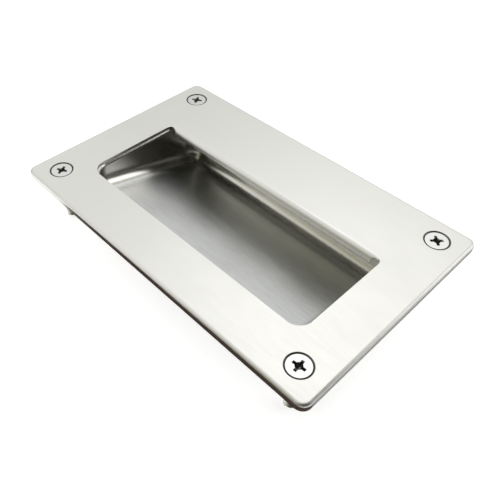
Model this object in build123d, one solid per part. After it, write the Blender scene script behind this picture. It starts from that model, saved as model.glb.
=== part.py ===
from build123d import *
import math
import os

# Flush pull of stainless sheet. X runs along the plate and Y across it, and the hand reaches in
# towards +Y. Z = 0 is the door's surface, where the rim sits, and +Z points out of the door.
# The origin is the middle of the four screws on that surface.

# Face plate, pressed from one sheet with its rim turned down all round
plate_length = 125.0
plate_width = 80.0
plate_corner = 3.0
plate_sheet = 0.9
rim_height = 2.7
rim_bend = 1.1

# Opening in the plate. Its far side is the fold line of the grip lip.
opening_length = 94.2
opening_width = 37.3
opening_corner = 5.0
opening_far_corner = 3.2
opening_near_margin = 16.5

# Grip lip, folded down from the far side of the opening
lip_bend = 2.0
lip_depth = 2.3
lip_end_round = 1.8

# Cup, drawn from its own sheet. Its flange is welded to the back of the plate.
cup_sheet = 0.9
cup_setback = 0.5
cup_width = 46.5
cup_corner = 5.3
cup_mouth_bend = 1.1
cup_floor_bend = 5.0
cup_near_depth = 8.5
cup_far_depth = 19.6
flange_width = 4.5

# Countersunk cross-recess screws
screw_inset_x = 9.0
screw_inset_y = 8.5
screw_diameter = 4.0
screw_length = 20.0
screw_end_diameter = 2.9
screw_end_taper = 0.9
neck_diameter = 3.6
neck_length = 0.1
head_diameter = 7.2
head_rim = 0.2
head_angle = 90.0
head_sunk = 0.15
recess_span = 4.1
recess_wing = 0.95
recess_depth = 2.1
recess_core_diameter = 2.3
recess_root_span = 2.2
recess_turns = (26.0, 29.0, 45.0, 4.5)

# Clearances
seat_gap = 0.02
hole_clearance = 0.25

face = rim_height
plate_back = face - plate_sheet
near_edge = opening_near_margin - plate_width / 2
fold_line = near_edge + opening_width
lip_face = fold_line - lip_bend
cup_length = opening_length - 2 * cup_setback
cup_near = near_edge + cup_setback
cup_far = cup_near + cup_width
screw_spots = [
    (-plate_length / 2 + screw_inset_x, -plate_width / 2 + screw_inset_y),
    (-plate_length / 2 + screw_inset_x, plate_width / 2 - screw_inset_y),
    (plate_length / 2 - screw_inset_x, plate_width / 2 - screw_inset_y),
    (plate_length / 2 - screw_inset_x, -plate_width / 2 + screw_inset_y),
]
head_slope = math.tan(math.radians(head_angle / 2))
head_cone = (head_diameter - neck_diameter) / 2 / head_slope
sink_radius = head_diameter / 2 + (head_sunk + head_rim) * head_slope + seat_gap
hole_radius = screw_diameter / 2 + hole_clearance


def rounded_block(length, width, corner, bottom, top, middle_y=0.0):
    """A block with rounded upright edges between two heights."""
    outline = RectangleRounded(length, width, corner)
    return extrude(Pos(0, middle_y, bottom) * outline, amount=top - bottom)


def edges_at(solid, height):
    return solid.edges().group_by(Axis.Z)[-1 if height == "top" else 0]


def pressed_tray():
    """The plate before piercing: a shallow tray of even thickness, open behind."""
    outer = rounded_block(plate_length, plate_width, plate_corner, 0, face)
    outer = fillet(edges_at(outer, "top"), rim_bend)
    hollow = rounded_block(
        plate_length - 2 * plate_sheet,
        plate_width - 2 * plate_sheet,
        plate_corner - plate_sheet,
        0,
        plate_back,
    )
    hollow = fillet(edges_at(hollow, "top"), rim_bend - plate_sheet)
    return outer - hollow


def opening_cut():
    """The opening's full depth, with tighter corners at the ends of the grip lip."""
    outline = Pos(0, near_edge + opening_width / 2) * Rectangle(opening_length, opening_width)
    outline = fillet(outline.vertices().group_by(Axis.Y)[0], opening_corner)
    outline = fillet(outline.vertices().group_by(Axis.Y)[-1], opening_far_corner)
    return extrude(outline, amount=face)


def grip_lip():
    """The folded edge that the fingers hook, with ends that curve up to the opening's corners."""
    inner_bend = lip_bend - plate_sheet
    bend_end = face - lip_bend
    lower = face - lip_depth
    turn = math.sqrt(0.5)
    with BuildSketch(Plane.YZ) as section:
        with BuildLine():
            Line((fold_line, plate_back), (fold_line, face))
            ThreePointArc(
                (fold_line, face),
                (fold_line - lip_bend * turn, bend_end + lip_bend * turn),
                (lip_face, bend_end),
            )
            Polyline(
                (lip_face, bend_end),
                (lip_face, lower),
                (lip_face + plate_sheet, lower),
                (lip_face + plate_sheet, bend_end),
            )
            ThreePointArc(
                (lip_face + plate_sheet, bend_end),
                (fold_line - inner_bend * turn, bend_end + inner_bend * turn),
                (fold_line, plate_back),
            )
        make_face()
    length = opening_length - 2 * opening_far_corner
    lip = extrude(section.sketch, amount=length / 2, both=True)
    ends = lip.edges().filter_by(Axis.Y).group_by(Axis.Z)[0]
    return fillet(ends, lip_end_round)


def screw_dimple():
    """The pressed countersink round a screw, as deep as the sheet's own slope."""
    cone_end = (sink_radius - hole_radius) / head_slope
    wall = plate_sheet / math.sin(math.radians(head_angle / 2))
    bottom = cone_end + plate_sheet * math.sin(math.radians(head_angle / 2))
    outer_at = lambda depth: sink_radius + wall - depth * head_slope
    with BuildSketch(Plane.XZ) as section:
        with BuildLine():
            Polyline(
                (sink_radius, face),
                (hole_radius, face - cone_end),
                (hole_radius, face - bottom),
                (outer_at(bottom), face - bottom),
                (outer_at(plate_sheet), plate_back),
                (sink_radius + wall, plate_back),
                (sink_radius + wall, face),
                close=True,
            )
        make_face()
    return revolve(section.sketch, Axis.Z)


def face_plate():
    plate = pressed_tray() - opening_cut() + grip_lip()
    dimple = screw_dimple()
    for x, y in screw_spots:
        plate -= Pos(x, y, plate_back) * Cylinder(
            sink_radius, plate_sheet, align=(Align.CENTER, Align.CENTER, Align.MIN)
        )
        plate += Pos(x, y, 0) * dimple
    return plate


def cup_block(grow):
    """The cup's inside, or its outside where grow is the sheet's thickness."""
    length = cup_length + 2 * grow
    width = cup_width + 2 * grow
    middle = (cup_near + cup_far) / 2
    fall = cup_far_depth - cup_near_depth
    slope = math.atan2(fall, cup_width)
    deepest = cup_far_depth + 2 * grow + 1
    block = rounded_block(length, width, cup_corner + grow, face - deepest, plate_back, middle)
    floor_middle = face - (cup_near_depth + cup_far_depth) / 2 - grow / math.cos(slope)
    normal = (0, math.sin(slope), math.cos(slope))
    floor = Plane(origin=(0, middle, floor_middle), x_dir=(1, 0, 0), z_dir=normal)
    block = split(block, bisect_by=floor, keep=Keep.TOP)
    return fillet(block.faces().sort_by(Axis.Z)[0].edges(), cup_floor_bend + grow)


def recess_cup():
    flange = rounded_block(
        cup_length + 2 * flange_width,
        cup_width + 2 * flange_width,
        cup_corner + flange_width,
        plate_back - cup_sheet,
        plate_back,
        (cup_near + cup_far) / 2,
    )
    cup = cup_block(cup_sheet) + flange - cup_block(0)
    mouth = cup.faces().sort_by(Axis.Z)[-1].inner_wires()[0].edges()
    return fillet(mouth, cup_mouth_bend)


def cross_recess(top):
    """Four tapered wings round a conical core, sunk from the top of the head."""
    profile = Polygon(
        (-recess_span / 2, top),
        (recess_span / 2, top),
        (recess_root_span / 2, top - recess_depth),
        (-recess_root_span / 2, top - recess_depth),
        align=None,
    )
    wing = extrude(Plane.XZ * profile, amount=recess_wing / 2, both=True)
    core = Pos(0, 0, top) * Cone(
        recess_root_span / 4,
        recess_core_diameter / 2,
        recess_depth,
        align=(Align.CENTER, Align.CENTER, Align.MAX),
    )
    return wing + Rot(0, 0, 90) * wing + core


def screw(turn):
    top = face - head_sunk
    shank = screw_diameter / 2
    neck = neck_diameter / 2
    neck_top = top - head_rim - head_cone
    neck_end = neck_top - neck_length
    end = top - screw_length
    with BuildSketch(Plane.XZ) as section:
        with BuildLine():
            Polyline(
                (0, top),
                (head_diameter / 2, top),
                (head_diameter / 2, top - head_rim),
                (neck, neck_top),
                (neck, neck_end),
                (shank, neck_end - (shank - neck)),
                (shank, end + screw_end_taper),
                (screw_end_diameter / 2, end),
                (0, end),
                close=True,
            )
        make_face()
    return revolve(section.sketch, Axis.Z) - Rot(0, 0, turn) * cross_recess(top)


os.makedirs("parts", exist_ok=True)
export_step(face_plate(), "parts/face_plate.step")
export_step(recess_cup(), "parts/recess_cup.step")
for number, ((x, y), turn) in enumerate(zip(screw_spots, recess_turns), start=1):
    export_step(Pos(x, y, 0) * screw(turn), f"parts/screw_{number}.step")
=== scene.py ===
import math

import bmesh
import bpy
from bpy.props import FloatProperty, FloatVectorProperty, PointerProperty
from mathutils import Matrix, Vector


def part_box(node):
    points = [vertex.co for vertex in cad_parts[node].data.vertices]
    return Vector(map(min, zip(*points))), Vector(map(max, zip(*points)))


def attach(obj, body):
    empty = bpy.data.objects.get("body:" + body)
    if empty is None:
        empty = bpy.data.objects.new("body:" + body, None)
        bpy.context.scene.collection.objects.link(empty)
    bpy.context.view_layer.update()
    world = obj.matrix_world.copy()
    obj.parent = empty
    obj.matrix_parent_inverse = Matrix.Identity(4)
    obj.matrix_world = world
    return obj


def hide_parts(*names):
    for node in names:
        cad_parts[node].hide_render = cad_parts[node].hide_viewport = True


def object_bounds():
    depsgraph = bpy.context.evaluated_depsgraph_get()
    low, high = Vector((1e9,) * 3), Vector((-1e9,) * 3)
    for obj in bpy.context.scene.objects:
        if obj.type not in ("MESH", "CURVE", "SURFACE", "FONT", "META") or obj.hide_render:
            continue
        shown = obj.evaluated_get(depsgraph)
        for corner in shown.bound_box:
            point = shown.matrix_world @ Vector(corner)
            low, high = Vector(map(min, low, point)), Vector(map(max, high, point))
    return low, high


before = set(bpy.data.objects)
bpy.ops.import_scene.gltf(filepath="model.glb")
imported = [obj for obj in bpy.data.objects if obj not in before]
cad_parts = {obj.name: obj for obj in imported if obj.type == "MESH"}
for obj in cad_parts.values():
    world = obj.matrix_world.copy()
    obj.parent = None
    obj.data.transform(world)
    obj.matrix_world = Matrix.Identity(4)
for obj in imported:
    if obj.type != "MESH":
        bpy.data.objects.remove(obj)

bl_info = {
    "name": "Flush Pull",
    "version": (1, 0, 0),
    "blender": (4, 5, 0),
    "location": "3D View > Sidebar > Flush Pull",
    "description": "A satin steel flush pull: pressed face plate, drawn cup and four screws",
    "category": "Object",
}

MM = 0.001
SCREWS = ("screw_1", "screw_2", "screw_3", "screw_4")

PLATE_LOW, PLATE_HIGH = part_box("face_plate")
CUP_LOW, CUP_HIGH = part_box("recess_cup")
SCREW_LOW, SCREW_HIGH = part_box(SCREWS[0])
CAD_LOW, CAD_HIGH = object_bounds()


def size(name, description, millimetres):
    """A length that the user can change."""
    return FloatProperty(
        name=name,
        description=description,
        default=millimetres * MM,
        min=0.0,
        precision=5,
        unit="LENGTH",
    )


def colour(name, description, value):
    """A colour that the user can change."""
    return FloatVectorProperty(
        name=name, description=description, default=value, min=0.0, max=1.0, subtype="COLOR"
    )


def share(name, description, value, top=1.0):
    """A plain number from 0 up to top."""
    return FloatProperty(name=name, description=description, default=value, min=0.0, max=top)


def turn(name, description, degrees):
    """An angle that the user can change."""
    return FloatProperty(
        name=name, description=description, default=math.radians(degrees), subtype="ANGLE"
    )


class FlushPullPlate(bpy.types.PropertyGroup):
    """Sizes of the face plate that its outer box doesn't give."""

    sheet: size("Sheet", "Thickness of the plate's sheet", 0.9)
    corner: size("Corner", "Radius of the plate's four corners", 3.0)
    rim_bend: size("Rim bend", "Outer radius of the bend into the rim", 1.1)
    opening_length: size("Opening length", "Length of the opening", 94.2)
    opening_width: size("Opening width", "From the near edge to the fold of the lip", 37.3)
    opening_corner: size("Near corners", "Radius of the opening's near corners", 5.0)
    far_corner: size("Far corners", "Radius of the corners where the lip ends", 3.2)
    near_margin: size("Near margin", "From the plate's near side to the opening", 16.5)
    lip_bend: size("Lip bend", "Outer radius of the fold into the grip lip", 2.0)
    lip_depth: size("Lip depth", "How far the lip reaches below the face", 2.3)
    lip_roll: share("Lip roll", "How far round the far corners the lip dies away", 0.72)
    hole: size("Hole", "Diameter of the hole in a screw's dimple", 4.5)
    seat_gap: size("Seat gap", "Play between a screw's head and its dimple", 0.02)
    sink_round: size("Sink round", "Rounding from the face into a screw's dimple", 0.25)
    edge_round: size("Edge round", "Rounding of the cut edges", 0.16)


class FlushPullCup(bpy.types.PropertyGroup):
    """Sizes of the cup behind the plate."""

    sheet: size("Sheet", "Thickness of the cup's sheet", 0.9)
    setback: size("Setback", "From the opening's edge to the cup's wall", 0.5)
    flange: size("Flange", "Width of the flange against the plate", 4.5)
    corner: size("Corner", "Radius of the cup's upright corners", 5.3)
    mouth_bend: size("Mouth bend", "Radius of the bend from flange to wall", 1.1)
    floor_bend: size("Floor bend", "Inner radius of the bend from wall to floor", 5.0)
    near_depth: size("Near depth", "Depth below the face at the near wall", 8.5)
    far_depth: size("Far depth", "Depth below the face at the far wall", 19.6)


class FlushPullScrew(bpy.types.PropertyGroup):
    """Sizes of the countersunk screws."""

    thread: size("Thread", "Outer diameter of the thread", 4.0)
    root: size("Root", "Diameter of the core under the thread", 3.2)
    pitch: size("Pitch", "From one turn of the thread to the next", 0.7)
    neck: size("Neck", "Diameter of the neck under the head", 3.6)
    neck_length: size("Neck length", "From the head's cone to the thread's first turn", 0.3)
    end_diameter: size("End", "Diameter of the screw's blunt end", 2.9)
    end_taper: size("End taper", "Length of the taper at the end", 0.9)
    head_rim: size("Head rim", "Height of the upright edge of the head", 0.2)
    span: size("Recess span", "Across two wings of the cross recess", 4.1)
    wing: size("Recess wing", "Width of a wing of the cross recess", 0.95)
    recess_core: size("Recess core", "Diameter of the recess between the wings", 2.3)
    recess_depth: size("Recess depth", "Depth of the cross recess", 2.1)
    turn_1: turn("Turn 1", "Turn of the cross of the first screw", 26.0)
    turn_2: turn("Turn 2", "Turn of the cross of the second screw", 29.0)
    turn_3: turn("Turn 3", "Turn of the cross of the third screw", 45.0)
    turn_4: turn("Turn 4", "Turn of the cross of the fourth screw", 4.5)


class FlushPullFinish(bpy.types.PropertyGroup):
    """Colours and roughness of the stainless steel."""

    plate_colour: colour("Plate colour", "Satin steel of the face plate", (0.685, 0.682, 0.645))
    cup_colour: colour("Cup colour", "Drawn steel of the cup", (0.62, 0.61, 0.56))
    # The cup's floor: the cup's colour with a painted cool, lighter reflection tint
    painted_floor_tint: colour("Cup floor", "Steel of the cup's floor", (0.63, 0.64, 0.63))
    screw_colour: colour("Screw colour", "Steel of the screws", (0.66, 0.66, 0.64))
    plate_roughness: share("Plate roughness", "Satin sheen of the plate", 0.36)
    cup_roughness: share("Cup roughness", "Sheen of the cup", 0.24)
    floor_sheen: share("Floor sheen", "How much duller the cup's floor is than its walls", 0.12)
    screw_roughness: share("Screw roughness", "Sheen of the screws", 0.28)
    grain: size("Grain", "Spacing of the finest brushed lines", 0.16)
    # Depth of the shade painted in the groove round each screw and in each cross recess
    painted_seat_shade: share("Seat shade", "Darkness of the groove round each screw", 0.85)


class FlushPullStage(bpy.types.PropertyGroup):
    """The floor, lights and camera."""

    floor_half: size("Floor", "Half the width of the floor", 4000.0)
    floor_colour: colour("Floor colour", "Colour of the floor", (0.86, 0.86, 0.86))
    floor_glow: share("Floor glow", "Light that the floor adds for the camera and for metal", 0.67)
    key_power: share("Key light", "Power of the lamp at the back right", 1.8, 100.0)
    key_size: size("Key size", "Width of that square lamp", 600.0)
    world_base: share("Studio", "Brightness of the studio's walls", 0.8, 4.0)
    world_high: share("Overhead", "How much brighter the studio is above the part", 0.98, 4.0)
    world_near_left: share("Near left", "How much brighter it is at the near left", 0.42, 4.0)
    world_left: share("Far left", "How much brighter it is at the far left", 0.35, 4.0)
    near_dim: share("Near side", "Share of its light that is missing on the near side", 0.58)
    near_colour: colour("Near colour", "Colour of the studio's near side", (1.0, 0.97, 0.76))
    right_dim: share("Right side", "Share of its light that is missing on the right", 0.94)
    left_dim: share("Low left", "Share of its light that is missing low at the left", 0.6)
    # Cards that only reflections show: painted dark and grey reflections in the rim's near sides
    painted_dark_reflection: colour("Dark card", "Card beside the near long side", (0.1, 0.065, 0.055))
    painted_grey_reflection: colour("Grey card", "Card beside the right short side", (0.45, 0.45, 0.45))


class FlushPullSettings(bpy.types.PropertyGroup):
    """All settings of the flush pull."""

    plate: PointerProperty(name="Plate", description="Face plate", type=FlushPullPlate)
    cup: PointerProperty(name="Cup", description="Recess cup", type=FlushPullCup)
    screw: PointerProperty(name="Screw", description="Screws", type=FlushPullScrew)
    finish: PointerProperty(name="Finish", description="Steel finishes", type=FlushPullFinish)
    stage: PointerProperty(name="Stage", description="Floor, lights, camera", type=FlushPullStage)


class Field:
    """A socket in a node tree, so that maths on it is written as plain expressions."""

    def __init__(self, tree, socket):
        self.tree = tree
        self.socket = socket

    def node(self, kind, settings=None, sockets=None):
        return add_node(self.tree, kind, settings, sockets)

    def maths(self, operation, *values):
        sockets = dict(enumerate(values))
        made = self.node("ShaderNodeMath", {"operation": operation}, sockets)
        return Field(self.tree, made.outputs[0])

    def __add__(self, other):
        return self.maths("ADD", self, other)

    __radd__ = __add__

    def __sub__(self, other):
        return self.maths("SUBTRACT", self, other)

    def __rsub__(self, other):
        return self.maths("SUBTRACT", other, self)

    def __mul__(self, other):
        return self.maths("MULTIPLY", self, other)

    __rmul__ = __mul__

    def __truediv__(self, other):
        return self.maths("DIVIDE", self, other)

    def __rtruediv__(self, other):
        return self.maths("DIVIDE", other, self)

    def __pow__(self, other):
        return self.maths("POWER", self, other)

    def __rpow__(self, other):
        return self.maths("POWER", other, self)

    def at_most(self, other):
        return self.maths("MINIMUM", self, other)

    def at_least(self, other):
        return self.maths("MAXIMUM", self, other)

    def sine(self):
        return self.maths("SINE", self)

    def cosine(self):
        return self.maths("COSINE", self)

    def magnitude(self):
        return self.maths("ABSOLUTE", self)

    def step(self, start, end):
        """Rises smoothly from 0 at start to 1 at end, which may be the lower of the two."""
        made = self.node(
            "ShaderNodeMapRange",
            {"interpolation_type": "SMOOTHSTEP"},
            {"Value": self, "From Min": start, "From Max": end},
        )
        return Field(self.tree, made.outputs[0])


def add_node(tree, kind, settings=None, sockets=None):
    """Makes a node, sets its settings, then gives its sockets their values or links."""
    made = tree.nodes.new(kind)
    for name, value in (settings or {}).items():
        setattr(made, name, value)
    for key, value in (sockets or {}).items():
        socket = made.inputs[key]
        if isinstance(value, Field):
            tree.links.new(value.socket, socket)
        elif isinstance(value, bpy.types.NodeSocket):
            tree.links.new(value, socket)
        else:
            socket.default_value = value
    return made


def rgba(value):
    """A colour as a socket takes it, with its fourth number."""
    return (*value[:3], 1.0)


def components(tree, vector):
    """The x, y and z of a vector."""
    split = add_node(tree, "ShaderNodeSeparateXYZ", sockets={"Vector": vector})
    return [Field(tree, split.outputs[axis]) for axis in "XYZ"]


# The colour sockets of a Mix node, which share their names with others
COLOUR_A = 6
COLOUR_B = 7
MIXED_COLOUR = 2


def mix_colours(tree, factor, first, second, blend="MIX"):
    """A colour between two others, or the first one multiplied by the second."""
    made = add_node(
        tree,
        "ShaderNodeMix",
        {"data_type": "RGBA", "blend_type": blend},
        {"Factor": factor, COLOUR_A: first, COLOUR_B: second},
    )
    return made.outputs[MIXED_COLOUR]


def new_tree(owner):
    """The emptied node tree of a material or world."""
    owner.use_nodes = True
    owner.node_tree.nodes.clear()
    return owner.node_tree


# Materials

# Painted shade in the groove round a screw, from inside the edge of its head to outside it
GROOVE_INSIDE = (0.14 * MM, 0.02 * MM)
GROOVE_OUTSIDE = (0.55 * MM, 0.42 * MM)

# Depths below a screw's top at which the painted shade in its cross recess starts, is full and
# ends
RECESS_PALE = 0.1 * MM
RECESS_DARK = 0.8 * MM
RECESS_END = (2.8 * MM, 2.6 * MM)
# Strength of that painted shade
RECESS_PAINTED_SHADE = 0.75

# Heights above the cup's floor between which its walls turn into it
FLOOR_BLEND = (0.9 * MM, 0.1 * MM)

# Grain of the steel. A stretch is how much longer than wide its marks are.
FINE_STRETCH = 40.0
FINE_SHARE = 0.6
COARSE_SPACING = 4
COARSE_STRETCH = 12.0
COARSE_SHARE = 0.4
CLOUD_SPACING = 18 * MM
CLOUD_STRETCH = 1.6
CLOUD_ROUGHNESS = 0.12
COARSE_ROUGHNESS = 0.14
GRAIN_DEPTH = 0.05 * MM
# Colour of the painted shade, which is no part of the grain
PAINTED_SHADE_COLOUR = (0.02, 0.02, 0.02)

# How rough the noise itself is, and how far a seed of 1 moves it along x, y and z
NOISE_ROUGHNESS = 0.6
SEED_SHIFT = (1.0, 2.3, 0.7)


def painted_seat_shade(tree, place):
    """1 in the narrow groove round each screw, where shade is painted dark, and 0 elsewhere.

    The screws mirror each other, so the place of the first one does for all four.
    """
    x, y, _ = components(tree, place)
    along = x.magnitude() - abs(SCREW_LOW.x + SCREW_HIGH.x) / 2
    across = y.magnitude() - abs(SCREW_LOW.y + SCREW_HIGH.y) / 2
    distance = (along * along + across * across) ** 0.5
    head = (SCREW_HIGH.x - SCREW_LOW.x) / 2
    past_head = distance.step(*(head - inside for inside in GROOVE_INSIDE))
    return past_head * distance.step(*(head + outside for outside in GROOVE_OUTSIDE))


def painted_screw_shade(tree, place):
    """Painted shade in the groove round each screw's head and in the depth of its cross recess."""
    top = SCREW_HIGH.z
    height = components(tree, place)[2]
    deep = height.step(top - RECESS_PALE, top - RECESS_DARK)
    in_head = height.step(*(top - depth for depth in RECESS_END))
    return painted_seat_shade(tree, place).at_least(deep * in_head * RECESS_PAINTED_SHADE)


def cup_floor(cup):
    """Gives a function that is 1 on the cup's flat floor and 0 on its walls and bends, where the
    floor's painted reflection tint and its extra roughness go.
    """
    near = CUP_LOW.y + cup.flange
    far = CUP_HIGH.y - cup.flange
    slope = (cup.far_depth - cup.near_depth) / (far - near)

    def on_floor(tree, place):
        _, y, z = components(tree, place)
        above = z + (y - near) * slope - (PLATE_HIGH.z - cup.near_depth)
        return above.step(*FLOOR_BLEND)

    return on_floor


def steel(
    name,
    base,
    roughness,
    grain,
    streak=0.05,
    cloud=0.05,
    bump=0.02,
    painted_shade_spot=None,
    painted_shade_depth=0.0,
    other_spot=None,
    painted_base=None,
    rough_more=0.0,
):
    """Brushed stainless steel: fine lines along X, over broad soft clouds.

    Where painted_shade_spot is 1 the steel is darkened with painted shade, as deeply as
    painted_shade_depth says.
    Where other_spot is 1 it has the colour painted_base, a painted reflection tint, and is rougher
    by rough_more.
    """
    material = bpy.data.materials.new(name)
    tree = new_tree(material)
    place = add_node(tree, "ShaderNodeTexCoord").outputs["Object"]

    def noise(spacing, stretch, detail, seed):
        scale = (1 / (spacing * stretch), 1 / spacing, 1 / spacing)
        offset = [seed * shift for shift in SEED_SHIFT]
        mapped = add_node(
            tree,
            "ShaderNodeMapping",
            sockets={"Vector": place, "Scale": scale, "Location": offset},
        )
        made = add_node(
            tree,
            "ShaderNodeTexNoise",
            sockets={
                "Vector": mapped.outputs["Vector"],
                "Scale": 1.0,
                "Detail": detail,
                "Roughness": NOISE_ROUGHNESS,
            },
        )
        return Field(tree, made.outputs["Fac"])

    fine = noise(grain, FINE_STRETCH, detail=2.0, seed=3.1)
    coarse = noise(grain * COARSE_SPACING, COARSE_STRETCH, detail=3.0, seed=7.7)
    clouds = noise(CLOUD_SPACING, CLOUD_STRETCH, detail=3.0, seed=1.3)
    lines = fine * FINE_SHARE + coarse * COARSE_SHARE
    shade = (lines - 0.5) * streak * 2 + (clouds - 0.5) * cloud * 2
    dark = [channel * (1 - streak - cloud) for channel in base]
    light = [min(1.0, channel * (1 + streak + cloud)) for channel in base]
    tone = mix_colours(tree, shade + 0.5, rgba(dark), rgba(light))
    rough = (clouds - 0.5) * CLOUD_ROUGHNESS + (coarse - 0.5) * COARSE_ROUGHNESS + roughness
    # The floor's painted reflection tint, and its extra roughness
    if other_spot:
        other = other_spot(tree, place)
        change = [part / whole for part, whole in zip(painted_base, base)]
        tone = mix_colours(tree, other, tone, rgba(change), "MULTIPLY")
        rough = rough + other * rough_more
    # Painted shade: the colour darkens where painted_shade_spot is 1
    if painted_shade_spot:
        shaded = painted_shade_spot(tree, place) * painted_shade_depth
        tone = mix_colours(tree, shaded, tone, rgba(PAINTED_SHADE_COLOUR))
    relief = add_node(
        tree,
        "ShaderNodeBump",
        sockets={"Strength": bump, "Distance": GRAIN_DEPTH, "Height": lines},
    )
    shader = add_node(
        tree,
        "ShaderNodeBsdfPrincipled",
        sockets={
            "Base Color": tone,
            "Metallic": 1.0,
            "Roughness": rough,
            "Normal": relief.outputs["Normal"],
        },
    )
    add_node(tree, "ShaderNodeOutputMaterial", sockets={"Surface": shader.outputs["BSDF"]})
    return material


# Sheet metal

# Steps of each round form
PLATE_CORNER_STEPS = 16
OPENING_CORNER_STEPS = 14
CUP_CORNER_STEPS = 16
SHEET_BEND_STEPS = 8
LIP_BEND_STEPS = 12
LIP_END_STEPS = 4
FLOOR_BEND_STEPS = 14
DIMPLE_STEPS = 48
SINK_ROUND_STEPS = 4
CUT_EDGE_STEPS = 3

# Width of the flat band beside a bend, which keeps the bend's shading off the face
SUPPORT = 0.5 * MM

# Share by which the flat middle of the cup's floor is drawn in from the bend
FLOOR_INSET = 0.02

# An edge sharper than this is a cut edge
CUT_ANGLE = math.radians(50)

# Slope of a screw's head and of its dimple, in degrees: both are as deep as they are wide
DIMPLE_SLOPE = 45


def rounded_outline(length, width, far_corner, middle_y, steps, near_corner=None):
    """Points and outward directions round a rectangle with round corners, anticlockwise."""
    outline = []
    spots = ((1, 1, 0), (-1, 1, 90), (-1, -1, 180), (1, -1, 270))
    for side_x, side_y, start in spots:
        corner = far_corner if side_y > 0 or near_corner is None else near_corner
        centre = Vector(
            (side_x * (length / 2 - corner), middle_y + side_y * (width / 2 - corner), 0)
        )
        for step in range(steps + 1):
            angle = math.radians(start + 90 * step / steps)
            outward = Vector((math.cos(angle), math.sin(angle), 0))
            outline.append((centre + outward * corner, outward))
    return outline


def round_outline(centre, radius, steps):
    """Points and outward directions round a circle, anticlockwise."""
    outline = []
    for step in range(steps):
        angle = 2 * math.pi * step / steps
        outward = Vector((math.cos(angle), math.sin(angle), 0))
        outline.append((centre + outward * radius, outward))
    return outline


def ring(mesh, outline, grow, height):
    """Vertices of an outline grown outwards, at one height."""
    return [mesh.verts.new(point + outward * grow + Vector((0, 0, height)))
            for point, outward in outline]


def join_rings(mesh, lower, upper):
    """Quads between two rings, facing outwards where lower is below upper."""
    count = len(lower)
    for index in range(count):
        after = (index + 1) % count
        mesh.faces.new((lower[index], lower[after], upper[after], upper[index]))


def sweep(mesh, outline, profile):
    """Rings for each (grow, height) of a profile, joined in order. Gives back the rings."""
    rings = [ring(mesh, outline, grow, height) for grow, height in profile]
    for lower, upper in zip(rings, rings[1:]):
        join_rings(mesh, lower, upper)
    return rings


def ring_edges(mesh, vertices):
    """The edges round a closed ring of vertices, made where they are missing."""
    closed = zip(vertices, vertices[1:] + vertices[:1])
    return [mesh.edges.get((first, second)) or mesh.edges.new((first, second))
            for first, second in closed]


def fill_flat(mesh, rings):
    """Fills the flat face that lies between closed rings."""
    edges = [edge for vertices in rings for edge in ring_edges(mesh, vertices)]
    bmesh.ops.triangle_fill(mesh, use_beauty=True, edges=edges, normal=(0, 0, 1))


def bend(radius, centre_grow, centre_height, start, end, steps):
    """Profile points along an arc, from one angle to another in degrees."""
    points = []
    for step in range(steps + 1):
        angle = math.radians(start + (end - start) * step / steps)
        points.append(
            (centre_grow + radius * math.cos(angle), centre_height + radius * math.sin(angle))
        )
    return points


def new_object(name, mesh, material=None):
    """Puts a mesh in the scene as an object."""
    data = bpy.data.meshes.new(name)
    mesh.to_mesh(data)
    mesh.free()
    made = bpy.data.objects.new(name, data)
    bpy.context.scene.collection.objects.link(made)
    if material:
        data.materials.append(material)
    return made


def settle(source, name):
    """The object with its modifiers applied, as a new plain mesh."""
    bpy.context.view_layer.update()
    graph = bpy.context.evaluated_depsgraph_get()
    data = bpy.data.meshes.new_from_object(source.evaluated_get(graph))
    data.name = name
    bpy.data.objects.remove(source)
    made = bpy.data.objects.new(name, data)
    bpy.context.scene.collection.objects.link(made)
    return made


def thicken(skin, name, sheet, edge_round):
    """Gives a skin its thickness behind it, and rounds the cut edges."""
    for polygon in skin.data.polygons:
        polygon.use_smooth = True
    wall = skin.modifiers.new("Sheet", "SOLIDIFY")
    wall.thickness = sheet
    wall.offset = -1.0
    wall.use_even_offset = True
    edge = skin.modifiers.new("Edges", "BEVEL")
    edge.width = edge_round
    edge.segments = CUT_EDGE_STEPS
    edge.limit_method = "ANGLE"
    edge.angle_limit = CUT_ANGLE
    shade = skin.modifiers.new("Shade", "WEIGHTED_NORMAL")
    shade.keep_sharp = False
    shade.weight = 50
    return settle(skin, name)


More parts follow.
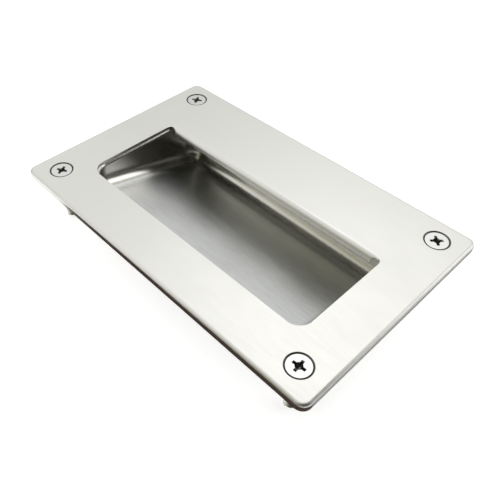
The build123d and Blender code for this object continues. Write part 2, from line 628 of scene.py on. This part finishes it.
def face_plate_skin(plate, head_rim):
    """The plate's outer skin: rim, face, dimples and the folded grip lip."""
    mesh = bmesh.new()
    face = PLATE_HIGH.z
    length = PLATE_HIGH.x - PLATE_LOW.x
    width = PLATE_HIGH.y - PLATE_LOW.y
    outer = rounded_outline(length, width, plate.corner, 0, PLATE_CORNER_STEPS)
    rim = [(0, PLATE_LOW.z)]
    rim += bend(
        plate.rim_bend, -plate.rim_bend, face - plate.rim_bend, 0, 90, SHEET_BEND_STEPS
    )
    rim.append((-plate.rim_bend - SUPPORT, face))
    outer_rings = sweep(mesh, outer, rim)

    near_edge = PLATE_LOW.y + plate.near_margin
    fold = near_edge + plate.opening_width
    middle = (near_edge + fold) / 2
    opening = rounded_outline(
        plate.opening_length,
        plate.opening_width,
        plate.far_corner,
        middle,
        OPENING_CORNER_STEPS,
        plate.opening_corner,
    )
    opening_rings = sweep(mesh, opening, [(SUPPORT, face), (0, face)])
    add_lip(mesh, plate, opening_rings[1], opening, fold)

    head_radius = (SCREW_HIGH.x - SCREW_LOW.x) / 2
    sink = head_radius + face - SCREW_HIGH.z + head_rim + plate.seat_gap
    hole = plate.hole / 2
    round_over = plate.sink_round * math.tan(math.radians(DIMPLE_SLOPE / 2))
    dimple = [(round_over + SUPPORT, face)]
    dimple += bend(
        plate.sink_round,
        round_over,
        face - plate.sink_round,
        90,
        90 + DIMPLE_SLOPE,
        SINK_ROUND_STEPS,
    )
    dimple.append((hole - sink, face - (sink - hole)))
    dimple_rings = []
    for name in SCREWS:
        low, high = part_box(name)
        centre = Vector(((low.x + high.x) / 2, (low.y + high.y) / 2, 0))
        outline = round_outline(centre, sink, DIMPLE_STEPS)
        dimple_rings.append(sweep(mesh, outline, dimple)[0])
    fill_flat(mesh, [outer_rings[-1], opening_rings[0]] + dimple_rings)
    bmesh.ops.recalc_face_normals(mesh, faces=mesh.faces)
    return mesh


def add_lip(mesh, plate, edge, opening, fold):
    """The grip lip: a fold along the opening's far side that dies away round its corners.

    A column of vertices hangs from each point of the opening's edge, and shrinks back into the
    edge as it goes round a corner.
    """
    face = PLATE_HIGH.z
    lower = face - plate.lip_depth
    bend_end = face - plate.lip_bend
    profile = bend(plate.lip_bend, fold, bend_end, 90, 180, LIP_BEND_STEPS)[1:]
    for step in range(1, LIP_END_STEPS + 1):
        height = bend_end + (lower - bend_end) * step / LIP_END_STEPS
        profile.append((fold - plate.lip_bend, height))
    steps = OPENING_CORNER_STEPS
    roll_steps = round(steps * plate.lip_roll)
    columns = []
    for index in range(steps - roll_steps, steps + 2 + roll_steps):
        beyond = max(steps - index, index - steps - 1)
        keep = 0.5 + 0.5 * math.cos(math.pi * beyond / roll_steps)
        point, outward = opening[index]
        column = [edge[index]]
        if beyond < roll_steps:
            for y, z in profile:
                place = point - outward * ((fold - y) * keep)
                column.append(mesh.verts.new((place.x, place.y, face - (face - z) * keep)))
        columns.append(column)
    for first, second in zip(columns, columns[1:]):
        for row in range(len(profile)):
            corners = []
            around = ((first, row), (second, row), (second, row + 1), (first, row + 1))
            for column, level in around:
                vertex = column[min(level, len(column) - 1)]
                if vertex not in corners:
                    corners.append(vertex)
            if len(corners) > 2:
                mesh.faces.new(corners)


def cup_skin(cup, plate):
    """The cup's inner skin. The floor bend is the path of a ball that rolls round the wall."""
    mesh = bmesh.new()
    top = CUP_HIGH.z
    face = PLATE_HIGH.z
    length = CUP_HIGH.x - CUP_LOW.x - 2 * cup.flange
    width = CUP_HIGH.y - CUP_LOW.y - 2 * cup.flange
    middle = (CUP_HIGH.y + CUP_LOW.y) / 2
    near = middle - width / 2
    slope = (cup.far_depth - cup.near_depth) / width
    outline = rounded_outline(length, width, cup.corner, middle, CUP_CORNER_STEPS)

    flange = [(cup.flange, top), (cup.flange - SUPPORT, top)]
    flange += bend(
        cup.mouth_bend, cup.mouth_bend, top - cup.mouth_bend, 90, 180, SHEET_BEND_STEPS
    )
    rings = sweep(mesh, outline, flange)

    lean = math.atan(slope)
    floor_up = Vector((0, math.sin(lean), math.cos(lean)))
    steps = FLOOR_BEND_STEPS
    bend_rings = [[] for _ in range(steps + 1)]
    for point, outward in outline:
        centre = point - outward * cup.floor_bend
        floor_height = face - cup.near_depth - slope * (centre.y - near)
        centre.z = floor_height + cup.floor_bend / math.cos(lean)
        for step in range(steps + 1):
            direction = outward.slerp(-floor_up, step / steps)
            bend_rings[step].append(mesh.verts.new(centre + direction * cup.floor_bend))
    for upper, lower in zip([rings[-1]] + bend_rings, bend_rings):
        join_rings(mesh, upper, lower)
    inner = []
    for vertex in bend_rings[-1]:
        pull = Vector((vertex.co.x * FLOOR_INSET, (vertex.co.y - middle) * FLOOR_INSET, 0))
        moved = vertex.co - pull
        moved.z += slope * pull.y
        inner.append(mesh.verts.new(moved))
    join_rings(mesh, bend_rings[-1], inner)
    mesh.faces.new(inner)
    bmesh.ops.recalc_face_normals(mesh, faces=mesh.faces)
    return mesh


# Screws

SCREW_STEPS = 56
HEAD_ROUND = 0.12 * MM
HEAD_ROUND_STEPS = 4
HEAD_SUPPORT = 0.25 * MM

# Shares of the cross recess's wing, span and core that are left at its bottom
WING_BELOW = 0.6
SPAN_BELOW = 0.54
CORE_BELOW = 0.5

# Its layers: the share of the depth, and the share of the narrowing that is still to come
RECESS_LAYERS = ((0.0, 1.0), (0.03, 0.93), (0.35, 0.78), (1.0, 0.0))
WING_ROUND = 0.12 * MM
LEAST_CORE = 0.72
TIP_DEPTH = 0.35 * MM

# The thread's steps in a turn, the part of its length in which it rises (one over LEAD_IN), the
# least height of its ridge and the ridge's width, both for a full height of 1
STEPS_A_TURN = 26
LEAD_IN = 14
LEAST_RIDGE = 0.03
RIDGE_WIDTH = 0.62


def cross_outline(span, wing, core, corner):
    """The cross recess seen from above, anticlockwise."""
    points = []
    core = max(core, wing * LEAST_CORE)
    inner = math.sqrt(core * core - wing * wing / 4)
    for quarter in range(4):
        turned = Matrix.Rotation(math.pi / 2 * quarter, 3, "Z")
        local = [
            (inner, -wing / 2),
            (span / 2 - corner, -wing / 2),
            (span / 2, -wing / 2 + corner),
            (span / 2, wing / 2 - corner),
            (span / 2 - corner, wing / 2),
            (inner, wing / 2),
            (core * math.cos(math.pi / 4), core * math.sin(math.pi / 4)),
        ]
        points += [turned @ Vector((x, y, 0)) for x, y in local]
    return points


def screw_blank(screw):
    """One screw without its thread, with its axis on Z and the top of its head at Z = 0."""
    mesh = bmesh.new()
    head = (SCREW_HIGH.x - SCREW_LOW.x) / 2
    length = SCREW_HIGH.z - SCREW_LOW.z
    root = screw.root / 2
    neck = screw.neck / 2
    end = screw.end_diameter / 2
    cone_end = neck - head - screw.head_rim
    profile = [(head - HEAD_ROUND - HEAD_SUPPORT, 0)]
    profile += bend(HEAD_ROUND, head - HEAD_ROUND, -HEAD_ROUND, 90, 0, HEAD_ROUND_STEPS)
    profile += [(head, -screw.head_rim), (neck, cone_end), (neck, cone_end - screw.neck_length)]
    profile += [(root, cone_end - screw.neck_length - (neck - root))]
    profile += [(root, -length + root - end), (end, -length)]
    rings = sweep(mesh, round_outline(Vector(), 0.0, SCREW_STEPS), profile)
    mesh.faces.new(rings[-1])

    recess_rings = []
    for depth, keep in RECESS_LAYERS:
        span = screw.span * (SPAN_BELOW + (1 - SPAN_BELOW) * keep)
        wing = screw.wing * (WING_BELOW + (1 - WING_BELOW) * keep)
        core = screw.recess_core / 2 * (CORE_BELOW + (1 - CORE_BELOW) * keep)
        points = cross_outline(span, wing, core, WING_ROUND)
        drop = Vector((0, 0, -screw.recess_depth * depth))
        recess_rings.append([mesh.verts.new(point + drop) for point in points])
    for upper, lower in zip(recess_rings, recess_rings[1:]):
        join_rings(mesh, upper, lower)
    bottom = mesh.verts.new((0, 0, -screw.recess_depth - TIP_DEPTH))
    last = recess_rings[-1]
    for first, second in zip(last, last[1:] + last[:1]):
        mesh.faces.new((first, second, bottom))
    fill_flat(mesh, [rings[0], recess_rings[0]])
    bmesh.ops.recalc_face_normals(mesh, faces=mesh.faces)
    for each in mesh.faces:
        each.smooth = True
    return mesh


def sharpen(data, degrees):
    """Marks edges sharper than an angle, so that flat faces stay flat when shaded."""
    mesh = bmesh.new()
    mesh.from_mesh(data)
    limit = math.radians(degrees)
    for edge in mesh.edges:
        if len(edge.link_faces) == 2:
            edge.smooth = edge.calc_face_angle(0.0) < limit
    mesh.to_mesh(data)
    mesh.free()


def screw_tree(screw, blank, material):
    """Geometry nodes: winds the thread on the blank, then sets a screw on every point."""
    tree = bpy.data.node_groups.new("Flush pull screws", "GeometryNodeTree")
    sockets = tree.interface
    sockets.new_socket("Geometry", in_out="INPUT", socket_type="NodeSocketGeometry")
    for name in ("Pitch", "Thread radius", "Root radius", "Thread start", "Length"):
        sockets.new_socket(name, in_out="INPUT", socket_type="NodeSocketFloat")
    sockets.new_socket("Geometry", in_out="OUTPUT", socket_type="NodeSocketGeometry")
    entry = add_node(tree, "NodeGroupInput").outputs

    def value(name):
        return Field(tree, entry[name])

    crest = value("Thread radius")
    root = value("Root radius")
    start = value("Thread start")
    length = value("Length")
    ridge = crest - root
    reach = length - start - ridge
    turns = reach / value("Pitch")

    line = add_node(tree, "GeometryNodeCurvePrimitiveLine")
    points = add_node(
        tree,
        "GeometryNodeResampleCurve",
        {"mode": "COUNT"},
        {"Curve": line.outputs["Curve"], "Count": turns * STEPS_A_TURN},
    )
    along = Field(tree, add_node(tree, "GeometryNodeSplineParameter").outputs["Factor"])
    angle = along * turns * (2 * math.pi)
    depth = start + along * reach
    end = screw.end_diameter / 2
    taper = (screw.thread / 2 - end) / screw.end_taper
    crest_here = (end + (length - depth) * taper).at_most(crest)
    lead_in = (along * LEAD_IN).at_most(1.0)
    ridge_here = ((crest_here - root) / ridge).at_least(LEAST_RIDGE) * lead_in
    spot = add_node(
        tree,
        "ShaderNodeCombineXYZ",
        sockets={"X": root * angle.cosine(), "Y": root * angle.sine(), "Z": depth * -1},
    )
    helix = add_node(
        tree,
        "GeometryNodeSetPosition",
        sockets={"Geometry": points.outputs["Curve"], "Position": spot.outputs["Vector"]},
    )
    upright = add_node(
        tree,
        "GeometryNodeSetCurveNormal",
        {"mode": "Z_UP"},
        {"Curve": helix.outputs["Geometry"]},
    )
    sized = add_node(
        tree,
        "GeometryNodeSetCurveRadius",
        sockets={"Curve": upright.outputs["Curve"], "Radius": ridge_here},
    )
    diamond = add_node(
        tree,
        "GeometryNodeCurvePrimitiveCircle",
        {"mode": "RADIUS"},
        {"Resolution": 4, "Radius": ridge},
    )
    flattened = add_node(
        tree,
        "GeometryNodeTransform",
        sockets={"Geometry": diamond.outputs["Curve"], "Scale": (1.0, RIDGE_WIDTH, 1.0)},
    )
    thread = add_node(
        tree,
        "GeometryNodeCurveToMesh",
        sockets={
            "Curve": sized.outputs["Curve"],
            "Profile Curve": flattened.outputs["Geometry"],
            "Fill Caps": True,
        },
    )
    crisp = add_node(
        tree,
        "GeometryNodeSetShadeSmooth",
        sockets={"Geometry": thread.outputs["Mesh"], "Shade Smooth": False},
    )
    body = add_node(tree, "GeometryNodeObjectInfo", sockets={"Object": blank})
    whole = add_node(tree, "GeometryNodeJoinGeometry")
    tree.links.new(body.outputs["Geometry"], whole.inputs["Geometry"])
    tree.links.new(crisp.outputs["Geometry"], whole.inputs["Geometry"])
    turned = add_node(
        tree,
        "GeometryNodeInputNamedAttribute",
        {"data_type": "FLOAT_VECTOR"},
        {"Name": "turn"},
    )
    placed = add_node(
        tree,
        "GeometryNodeInstanceOnPoints",
        sockets={
            "Points": entry["Geometry"],
            "Instance": whole.outputs["Geometry"],
            "Rotation": turned.outputs["Attribute"],
        },
    )
    real = add_node(
        tree, "GeometryNodeRealizeInstances", sockets={"Geometry": placed.outputs["Instances"]}
    )
    finished = add_node(
        tree,
        "GeometryNodeSetMaterial",
        sockets={"Geometry": real.outputs["Geometry"], "Material": material},
    )
    add_node(tree, "NodeGroupOutput", sockets={"Geometry": finished.outputs["Geometry"]})
    return tree


def set_input(modifier, tree, name, value):
    """Sets an input of a Geometry Nodes modifier by the identifier of its socket."""
    for item in tree.interface.items_tree:
        if item.name == name and item.in_out == "INPUT":
            modifier[item.identifier] = value


# Operators

class FLUSHPULL_OT_face_plate(bpy.types.Operator):
    """Press the face plate from one sheet, with its rim, dimples and grip lip"""

    bl_idname = "flushpull.face_plate"
    bl_label = "Face Plate"

    def execute(self, context):
        settings = context.scene.flush_pull
        plate = settings.plate
        finish = settings.finish
        material = steel(
            "Satin steel",
            finish.plate_colour,
            finish.plate_roughness,
            finish.grain,
            # The groove round each screw is darkened with painted shade
            painted_shade_spot=painted_seat_shade,
            painted_shade_depth=finish.painted_seat_shade,
        )
        skin = new_object(
            "plate skin", face_plate_skin(plate, settings.screw.head_rim), material
        )
        made = thicken(skin, "satin_face_plate", plate.sheet, plate.edge_round)
        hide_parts("face_plate")
        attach(made, "root")
        return {"FINISHED"}


class FLUSHPULL_OT_recess_cup(bpy.types.Operator):
    """Draw the cup that is welded behind the plate"""

    bl_idname = "flushpull.recess_cup"
    bl_label = "Recess Cup"

    def execute(self, context):
        settings = context.scene.flush_pull
        cup = settings.cup
        finish = settings.finish
        material = steel(
            "Drawn steel",
            finish.cup_colour,
            finish.cup_roughness,
            finish.grain,
            streak=0.32,
            cloud=0.14,
            bump=0.14,
            # The cup's floor gets a painted cool reflection tint
            other_spot=cup_floor(cup),
            painted_base=finish.painted_floor_tint,
            rough_more=finish.floor_sheen,
        )
        skin = new_object("cup skin", cup_skin(cup, settings.plate), material)
        made = thicken(skin, "drawn_recess_cup", cup.sheet, settings.plate.edge_round)
        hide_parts("recess_cup")
        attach(made, "root")
        return {"FINISHED"}


class FLUSHPULL_OT_screws(bpy.types.Operator):
    """Drive the four countersunk screws"""

    bl_idname = "flushpull.screws"
    bl_label = "Screws"

    def execute(self, context):
        settings = context.scene.flush_pull
        screw = settings.screw
        finish = settings.finish
        material = steel(
            "Screw steel",
            finish.screw_colour,
            finish.screw_roughness,
            finish.grain,
            streak=0.03,
            # The groove and the cross recess are darkened with painted shade
            painted_shade_spot=painted_screw_shade,
            painted_shade_depth=finish.painted_seat_shade,
        )
        blank = new_object("screw blank", screw_blank(screw))
        sharpen(blank.data, degrees=35)
        spots = bmesh.new()
        turns = (screw.turn_1, screw.turn_2, screw.turn_3, screw.turn_4)
        layer = spots.verts.layers.float_vector.new("turn")
        for name, turned in zip(SCREWS, turns):
            low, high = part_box(name)
            spot = spots.verts.new(((low.x + high.x) / 2, (low.y + high.y) / 2, high.z))
            spot[layer] = (0.0, 0.0, turned)
        seats = new_object("screw seats", spots)
        tree = screw_tree(screw, blank, material)
        driver = seats.modifiers.new("Screws", "NODES")
        driver.node_group = tree
        head = (SCREW_HIGH.x - SCREW_LOW.x) / 2
        start = screw.head_rim + head - screw.neck / 2 + screw.neck_length
        set_input(driver, tree, "Pitch", screw.pitch)
        set_input(driver, tree, "Thread radius", screw.thread / 2)
        set_input(driver, tree, "Root radius", screw.root / 2)
        set_input(driver, tree, "Thread start", start)
        set_input(driver, tree, "Length", SCREW_HIGH.z - SCREW_LOW.z)
        made = settle(seats, "cross_recess_screws")
        bpy.data.objects.remove(blank)
        bpy.data.node_groups.remove(tree)
        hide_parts(*SCREWS)
        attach(made, "root")
        return {"FINISHED"}


class FLUSHPULL_OT_stage(bpy.types.Operator):
    """Lay the pale floor, and set the lights and the camera"""

    bl_idname = "flushpull.stage"
    bl_label = "Stage"

    def execute(self, context):
        stage = context.scene.flush_pull.stage
        make_floor(stage)
        make_world(stage)
        make_lights(stage)
        make_cards(stage)
        make_camera()
        context.scene.view_settings.view_transform = "Standard"
        return {"FINISHED"}


# Stage

# Parts of the studio: the direction of a part's middle, and the cosines of the angles from it at
# which the part begins and is full
OVERHEAD = ((-0.22, 0.46, 0.86), 0.87, 1.0)
FAR_LEFT = ((-0.8, 0.25, 0.55), 0.965, 1.0)
NEAR_LEFT = ((-0.6, -0.48, 0.64), 0.75, 1.0)
NEAR_SIDE = ((0.2, -0.92, 0.34), 0.6, 0.9)
LOW_LEFT = ((-0.95, -0.26, 0.17), 0.9, 0.98)

# The right side, by x and by y of a direction: where it begins and is full
RIGHT_BY_X = (0.0, 0.4)
RIGHT_BY_Y = (0.74, 0.5)

LAMP_PLACE = (0.75, 0.86, 0.61)
CARD_LIFT = 0.5 * MM
WHITE = (1.0, 1.0, 1.0)


def make_floor(stage):
    """A pale floor that metal and the camera see as white, with the part's shadow."""
    mesh = bmesh.new()
    bmesh.ops.create_grid(mesh, x_segments=1, y_segments=1, size=stage.floor_half)
    bmesh.ops.translate(mesh, verts=mesh.verts, vec=(0, 0, CAD_LOW.z))
    material = bpy.data.materials.new("Pale floor")
    tree = new_tree(material)
    path = add_node(tree, "ShaderNodeLightPath").outputs
    shown = Field(tree, path["Is Camera Ray"]).at_least(
        Field(tree, path["Is Glossy Ray"]).at_least(Field(tree, path["Is Transmission Ray"]))
    )
    plain = add_node(
        tree, "ShaderNodeBsdfDiffuse", sockets={"Color": rgba(stage.floor_colour)}
    )
    white = add_node(tree, "ShaderNodeBsdfDiffuse", sockets={"Color": rgba(WHITE)})
    glow = add_node(tree, "ShaderNodeEmission", sockets={"Strength": stage.floor_glow})
    bright = add_node(
        tree, "ShaderNodeAddShader", sockets={0: white.outputs[0], 1: glow.outputs[0]}
    )
    mixed = add_node(
        tree,
        "ShaderNodeMixShader",
        sockets={0: shown, 1: plain.outputs[0], 2: bright.outputs[0]},
    )
    add_node(tree, "ShaderNodeOutputMaterial", sockets={"Surface": mixed.outputs[0]})
    new_object("floor", mesh, material)


def make_world(stage):
    """A pale studio, brightest overhead, and dim on its near, right and low left sides."""
    world = bpy.data.worlds.new("Studio")
    bpy.context.scene.world = world
    tree = new_tree(world)
    direction = add_node(tree, "ShaderNodeTexCoord").outputs["Generated"]
    x, y, z = components(tree, direction)

    def part(middle, begins, full):
        a, b, c = Vector(middle).normalized()
        return (x * a + y * b + z * c).step(begins, full)

    near_side = part(*NEAR_SIDE)
    right = x.step(*RIGHT_BY_X) * y.step(*RIGHT_BY_Y)
    lit = (
        part(*OVERHEAD) * stage.world_high
        + part(*NEAR_LEFT) * stage.world_near_left
        + part(*FAR_LEFT) * stage.world_left
        + stage.world_base
    )
    strength = (
        lit
        * (1 - near_side * stage.near_dim)
        * (1 - right * stage.right_dim)
        * (1 - part(*LOW_LEFT) * stage.left_dim)
    )
    tint = mix_colours(tree, near_side, rgba(WHITE), rgba(stage.near_colour))
    background = add_node(
        tree, "ShaderNodeBackground", sockets={"Color": tint, "Strength": strength}
    )
    add_node(tree, "ShaderNodeOutputWorld", sockets={"Surface": background.outputs[0]})


def make_lights(stage):
    """One square lamp behind the part on its right, which faces it."""
    light = bpy.data.lights.new("Key light", "AREA")
    light.shape = "SQUARE"
    light.size = stage.key_size
    light.energy = stage.key_power
    made = bpy.data.objects.new("Key light", light)
    place = Vector(LAMP_PLACE)
    made.location = place
    made.rotation_mode = "QUATERNION"
    made.rotation_quaternion = (-place).to_track_quat("-Z", "Y")
    bpy.context.scene.collection.objects.link(made)


def make_card(name, low_x, low_y, high_x, high_y, tone):
    """A studio card just above the floor, which only reflections show: a painted reflection."""
    mesh = bmesh.new()
    height = CAD_LOW.z + CARD_LIFT
    corners = ((low_x, low_y), (high_x, low_y), (high_x, high_y), (low_x, high_y))
    mesh.faces.new([mesh.verts.new((x, y, height)) for x, y in corners])
    material = bpy.data.materials.new(name)
    tree = new_tree(material)
    plain = add_node(tree, "ShaderNodeBsdfDiffuse", sockets={"Color": rgba(tone)})
    add_node(tree, "ShaderNodeOutputMaterial", sockets={"Surface": plain.outputs[0]})
    card = new_object(name, mesh, material)
    card.visible_camera = False
    card.visible_diffuse = False
    card.visible_shadow = False


def make_cards(stage):
    """Cards that give the rim's near sides a painted dark reflection standing in for shade, and a
    painted grey one, so that they don't vanish against the white floor.
    """
    gap = 4 * MM
    reach = 36 * MM
    long_reach = 300 * MM
    make_card(
        "dark card",
        PLATE_LOW.x + gap,
        PLATE_LOW.y - long_reach,
        PLATE_HIGH.x + reach,
        SCREW_HIGH.y,
        stage.painted_dark_reflection,
    )
    make_card(
        "grey card",
        PLATE_HIGH.x + gap,
        SCREW_HIGH.y,
        PLATE_HIGH.x + reach,
        PLATE_HIGH.y + reach,
        stage.painted_grey_reflection,
    )


def make_camera():
    """The photograph's view, with its place and its aim measured from the plate's face."""
    face = Vector((0, 0, PLATE_HIGH.z))
    place = Vector((89.14, -94.61, 115.67)) * MM + face
    aim = Vector((18.05, -30.54, 0)) * MM + face
    roll = math.radians(-1.17)
    camera = bpy.data.cameras.new("Camera")
    camera.sensor_width = 36.0
    camera.lens = 38.37
    camera.shift_x = 0.0898
    camera.shift_y = 0.0682
    camera.clip_start = 1 * MM
    camera.clip_end = 50.0
    made = bpy.data.objects.new("Camera", camera)
    made.rotation_mode = "QUATERNION"
    made.location = place
    looking = (aim - place).to_track_quat("-Z", "Y")
    made.rotation_quaternion = looking @ Matrix.Rotation(roll, 3, "Z").to_quaternion()
    bpy.context.scene.collection.objects.link(made)
    bpy.context.scene.camera = made


class FLUSHPULL_PT_panel(bpy.types.Panel):
    """Lists the pieces of the flush pull in the order in which they are made"""

    bl_label = "Flush Pull"
    bl_idname = "FLUSHPULL_PT_panel"
    bl_space_type = "VIEW_3D"
    bl_region_type = "UI"
    bl_category = "Flush Pull"

    def draw(self, context):
        for operator in OPERATORS:
            self.layout.operator(operator.bl_idname)


GROUPS = (
    FlushPullPlate,
    FlushPullCup,
    FlushPullScrew,
    FlushPullFinish,
    FlushPullStage,
    FlushPullSettings,
)
OPERATORS = (
    FLUSHPULL_OT_face_plate,
    FLUSHPULL_OT_recess_cup,
    FLUSHPULL_OT_screws,
    FLUSHPULL_OT_stage,
)
CLASSES = (*GROUPS, *OPERATORS, FLUSHPULL_PT_panel)


def register():
    """Makes the panel, the operators and the settings known to Blender."""
    for each in CLASSES:
        bpy.utils.register_class(each)
    bpy.types.Scene.flush_pull = PointerProperty(
        name="Flush Pull", description="Settings of the flush pull", type=FlushPullSettings
    )


def unregister():
    """Takes them away again, in the reverse order."""
    del bpy.types.Scene.flush_pull
    for each in reversed(CLASSES):
        bpy.utils.unregister_class(each)


def main():
    """Makes the pieces and the stage."""
    register()
    bpy.ops.flushpull.face_plate()
    bpy.ops.flushpull.recess_cup()
    bpy.ops.flushpull.screws()
    bpy.ops.flushpull.stage()


if __name__ == "__main__":
    main()
